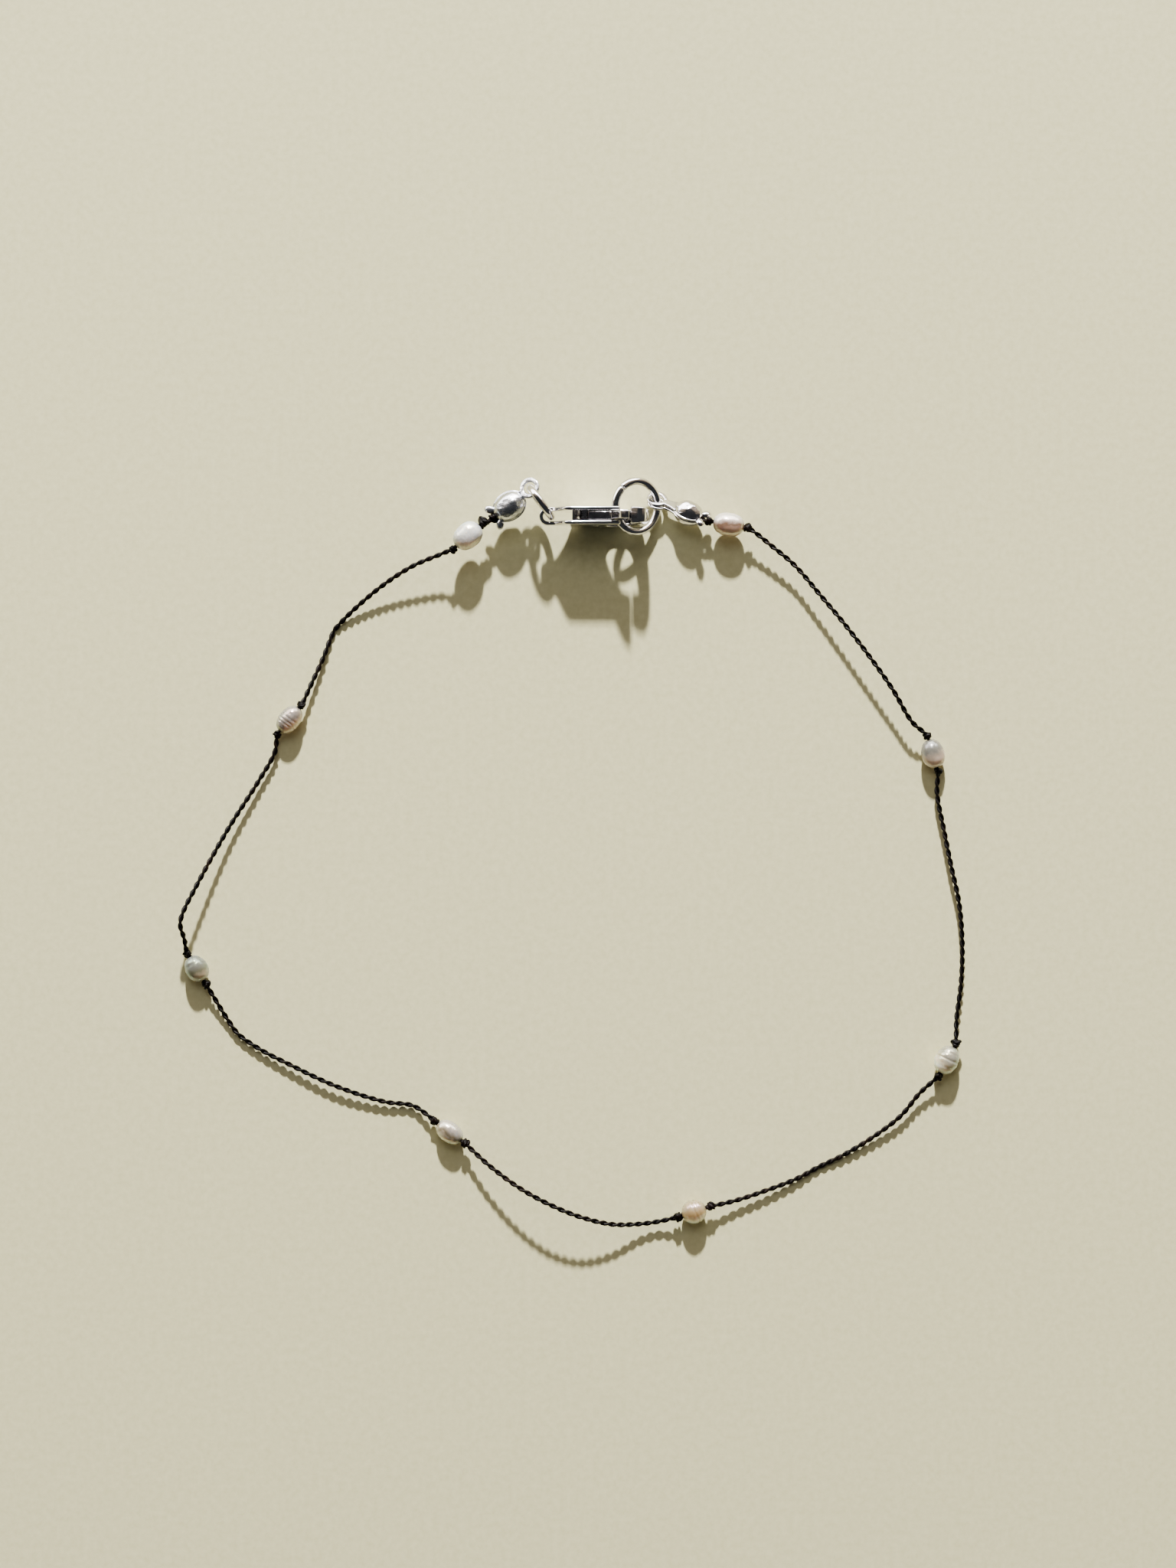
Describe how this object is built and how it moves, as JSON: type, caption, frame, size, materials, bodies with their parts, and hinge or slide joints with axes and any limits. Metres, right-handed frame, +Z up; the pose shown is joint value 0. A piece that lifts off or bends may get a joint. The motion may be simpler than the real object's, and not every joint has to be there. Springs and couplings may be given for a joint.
{
  "type": "pearl anklet",
  "caption": "Open loop of pearls knotted along a fine silk cord, closed by clamshell tips, jump rings and a sprung lobster clasp.",
  "frame": {"origin": "on the surface that the anklet lies on, under the middle of its loop", "axes": "+Z up from that surface; +Y from the middle of the loop towards the clasp; +X from the clasp's tail loop towards its nose"},
  "size_m": [0.0818, 0.0779, 0.008],
  "materials": {
    "nacre": "lustrous freshwater nacre",
    "silk": "two-ply twisted silk",
    "silver": "polished silver"
  },
  "bodies": {
    "anklet": {"pearl_1": "nacre", "pearl_2": "nacre", "pearl_3": "nacre", "pearl_4": "nacre", "pearl_5": "nacre", "pearl_6": "nacre", "pearl_7": "nacre", "pearl_8": "nacre", "cord_1": "silk", "cord_2": "silk", "cord_3": "silk", "cord_4": "silk", "cord_5": "silk", "cord_6": "silk", "cord_7": "silk", "cord_8": "silk", "cord_9": "silk", "clamshell_left": "silver", "clamshell_right": "silver", "jump_ring_small": "silver", "jump_ring_large": "silver", "clasp_body": "silver", "clasp_pin": "silver"},
    "lever": {"clasp_lever": "silver"}
  },
  "joints": [
    {"name": "lever_hinge", "type": "hinge", "parent": "anklet", "child": "lever", "pos_m": [0.00236, 0.0348, 0.00295], "axis": [0, -1, 0], "range_deg": [0, 20], "stiffness_Nm_per_rad": 0.01}
  ]
}
